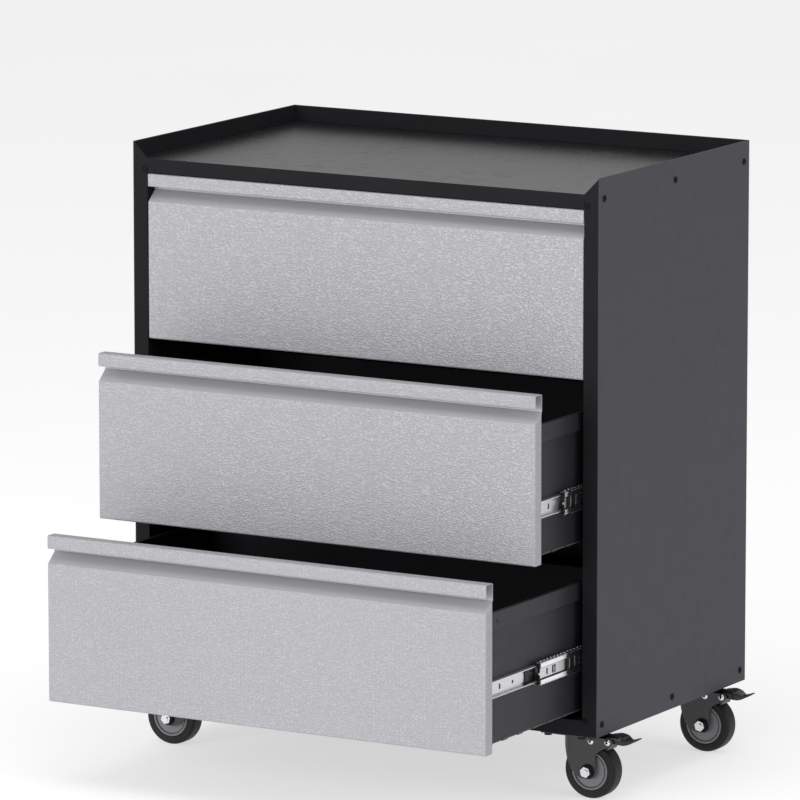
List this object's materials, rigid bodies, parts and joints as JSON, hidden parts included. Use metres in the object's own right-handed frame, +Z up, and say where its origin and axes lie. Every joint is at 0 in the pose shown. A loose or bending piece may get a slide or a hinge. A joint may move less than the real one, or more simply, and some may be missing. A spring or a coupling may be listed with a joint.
{
  "type": "rolling tool chest",
  "caption": "Steel tool chest on swivel casters: wide drawers with folded handle lips run on telescopic slides under a flat worktop with a low raised edge.",
  "frame": {"origin": "on the floor under the middle of the cabinet, where the four wheels stand", "axes": "+Z up, the drawer fronts face -Y, +X to the viewer's right; the middle and bottom drawers stand part open at rest"},
  "size_m": [0.7582, 0.6782, 0.832],
  "materials": {
    "side_paint": "charcoal textured powder coat",
    "frame_paint": "satin black powder coat",
    "worktop_paint": "satin dark grey powder coat",
    "front_paint": "silver hammered powder coat with a leather grain",
    "drawer_paint": "satin charcoal powder coat",
    "slide_zinc": "bright zinc plate",
    "screw_black": "black oxide",
    "bolt_zinc": "bright zinc plate",
    "fork_paint": "semi-gloss black",
    "pedal_paint": "satin black",
    "hub_plastic": "moulded grey nylon",
    "tyre_rubber": "moulded black rubber"
  },
  "bodies": {
    "cabinet": {"left_side_panel": "side_paint", "right_side_panel": "side_paint", "back_panel": "side_paint", "worktop": "worktop_paint", "base_pan": "frame_paint", "left_front_upright": "frame_paint", "right_front_upright": "frame_paint", "left_rear_upright": "frame_paint", "right_rear_upright": "frame_paint", "panel_screws": "screw_black", "caster_plates": "fork_paint", "caster_bolts": "screw_black", "top_left_slide_outer": "slide_zinc", "top_right_slide_outer": "slide_zinc", "middle_left_slide_outer": "slide_zinc", "middle_right_slide_outer": "slide_zinc", "bottom_left_slide_outer": "slide_zinc", "bottom_right_slide_outer": "slide_zinc"},
    "top_drawer": {"top_drawer_front": "front_paint", "top_drawer_left_side": "drawer_paint", "top_drawer_right_side": "drawer_paint", "top_drawer_floor": "drawer_paint", "top_left_slide_runner": "slide_zinc", "top_right_slide_runner": "slide_zinc"},
    "top_left_carrier": {"top_left_slide_carrier": "slide_zinc"},
    "top_right_carrier": {"top_right_slide_carrier": "slide_zinc"},
    "middle_drawer": {"middle_drawer_front": "front_paint", "middle_drawer_left_side": "drawer_paint", "middle_drawer_right_side": "drawer_paint", "middle_drawer_floor": "drawer_paint", "middle_left_slide_runner": "slide_zinc", "middle_right_slide_runner": "slide_zinc"},
    "middle_left_carrier": {"middle_left_slide_carrier": "slide_zinc"},
    "middle_right_carrier": {"middle_right_slide_carrier": "slide_zinc"},
    "bottom_drawer": {"bottom_drawer_front": "front_paint", "bottom_drawer_left_side": "drawer_paint", "bottom_drawer_right_side": "drawer_paint", "bottom_drawer_floor": "drawer_paint", "bottom_left_slide_runner": "slide_zinc", "bottom_right_slide_runner": "slide_zinc"},
    "bottom_left_carrier": {"bottom_left_slide_carrier": "slide_zinc"},
    "bottom_right_carrier": {"bottom_right_slide_carrier": "slide_zinc"},
    "front_right_swivel": {"front_right_fork": "fork_paint", "front_right_axle": "bolt_zinc"},
    "front_right_wheel": {"front_right_tyre": "tyre_rubber", "front_right_hub": "hub_plastic"},
    "front_right_brake": {"front_right_brake_pedal": "pedal_paint"},
    "front_left_swivel": {"front_left_fork": "fork_paint", "front_left_axle": "bolt_zinc"},
    "front_left_wheel": {"front_left_tyre": "tyre_rubber", "front_left_hub": "hub_plastic"},
    "rear_right_swivel": {"rear_right_fork": "fork_paint", "rear_right_axle": "bolt_zinc"},
    "rear_right_wheel": {"rear_right_tyre": "tyre_rubber", "rear_right_hub": "hub_plastic"},
    "rear_right_brake": {"rear_right_brake_pedal": "pedal_paint"},
    "rear_left_swivel": {"rear_left_fork": "fork_paint", "rear_left_axle": "bolt_zinc"},
    "rear_left_wheel": {"rear_left_tyre": "tyre_rubber", "rear_left_hub": "hub_plastic"}
  },
  "joints": [
    {"name": "top_drawer_slide", "type": "slide", "parent": "cabinet", "child": "top_drawer", "axis": [0, -1, 0], "range_m": [0, 0.36]},
    {"name": "top_left_carrier_slide", "type": "slide", "parent": "cabinet", "child": "top_left_carrier", "axis": [0, -1, 0], "range_m": [0, 0.18]},
    {"name": "top_right_carrier_slide", "type": "slide", "parent": "cabinet", "child": "top_right_carrier", "axis": [0, -1, 0], "range_m": [0, 0.18]},
    {"name": "middle_drawer_slide", "type": "slide", "parent": "cabinet", "child": "middle_drawer", "axis": [0, -1, 0], "range_m": [-0.127, 0.233]},
    {"name": "middle_left_carrier_slide", "type": "slide", "parent": "cabinet", "child": "middle_left_carrier", "axis": [0, -1, 0], "range_m": [-0.0635, 0.1165]},
    {"name": "middle_right_carrier_slide", "type": "slide", "parent": "cabinet", "child": "middle_right_carrier", "axis": [0, -1, 0], "range_m": [-0.0635, 0.1165]},
    {"name": "bottom_drawer_slide", "type": "slide", "parent": "cabinet", "child": "bottom_drawer", "axis": [0, -1, 0], "range_m": [-0.255, 0.105]},
    {"name": "bottom_left_carrier_slide", "type": "slide", "parent": "cabinet", "child": "bottom_left_carrier", "axis": [0, -1, 0], "range_m": [-0.1275, 0.0525]},
    {"name": "bottom_right_carrier_slide", "type": "slide", "parent": "cabinet", "child": "bottom_right_carrier", "axis": [0, -1, 0], "range_m": [-0.1275, 0.0525]},
    {"name": "front_right_swivel_turn", "type": "hinge", "parent": "cabinet", "child": "front_right_swivel", "pos_m": [0.3008, -0.1614, 0.086], "axis": [0, 0, 1], "continuous": true},
    {"name": "front_right_wheel_roll", "type": "hinge", "parent": "front_right_swivel", "child": "front_right_wheel", "pos_m": [0.3248, -0.1614, 0.038], "axis": [0, 1, 0], "continuous": true},
    {"name": "front_right_brake_press", "type": "hinge", "parent": "front_right_swivel", "child": "front_right_brake", "pos_m": [0.3538, -0.1614, 0.0795], "axis": [0, 1, 0], "range_deg": [0, 20]},
    {"name": "front_left_swivel_turn", "type": "hinge", "parent": "cabinet", "child": "front_left_swivel", "pos_m": [-0.3008, -0.1614, 0.086], "axis": [0, 0, 1], "continuous": true},
    {"name": "front_left_wheel_roll", "type": "hinge", "parent": "front_left_swivel", "child": "front_left_wheel", "pos_m": [-0.3248, -0.1614, 0.038], "axis": [0, 1, 0], "continuous": true},
    {"name": "rear_right_swivel_turn", "type": "hinge", "parent": "cabinet", "child": "rear_right_swivel", "pos_m": [0.3008, 0.1614, 0.086], "axis": [0, 0, 1], "continuous": true},
    {"name": "rear_right_wheel_roll", "type": "hinge", "parent": "rear_right_swivel", "child": "rear_right_wheel", "pos_m": [0.3248, 0.1614, 0.038], "axis": [0, 1, 0], "continuous": true},
    {"name": "rear_right_brake_press", "type": "hinge", "parent": "rear_right_swivel", "child": "rear_right_brake", "pos_m": [0.3538, 0.1614, 0.0795], "axis": [0, 1, 0], "range_deg": [0, 20]},
    {"name": "rear_left_swivel_turn", "type": "hinge", "parent": "cabinet", "child": "rear_left_swivel", "pos_m": [-0.3008, 0.1614, 0.086], "axis": [0, 0, 1], "continuous": true},
    {"name": "rear_left_wheel_roll", "type": "hinge", "parent": "rear_left_swivel", "child": "rear_left_wheel", "pos_m": [-0.3248, 0.1614, 0.038], "axis": [0, 1, 0], "continuous": true}
  ],
  "couplings": [
    {"joint": "top_left_carrier_slide", "follows": "top_drawer_slide", "ratio": 0.5},
    {"joint": "top_right_carrier_slide", "follows": "top_drawer_slide", "ratio": 0.5},
    {"joint": "middle_left_carrier_slide", "follows": "middle_drawer_slide", "ratio": 0.5},
    {"joint": "middle_right_carrier_slide", "follows": "middle_drawer_slide", "ratio": 0.5},
    {"joint": "bottom_left_carrier_slide", "follows": "bottom_drawer_slide", "ratio": 0.5},
    {"joint": "bottom_right_carrier_slide", "follows": "bottom_drawer_slide", "ratio": 0.5}
  ]
}
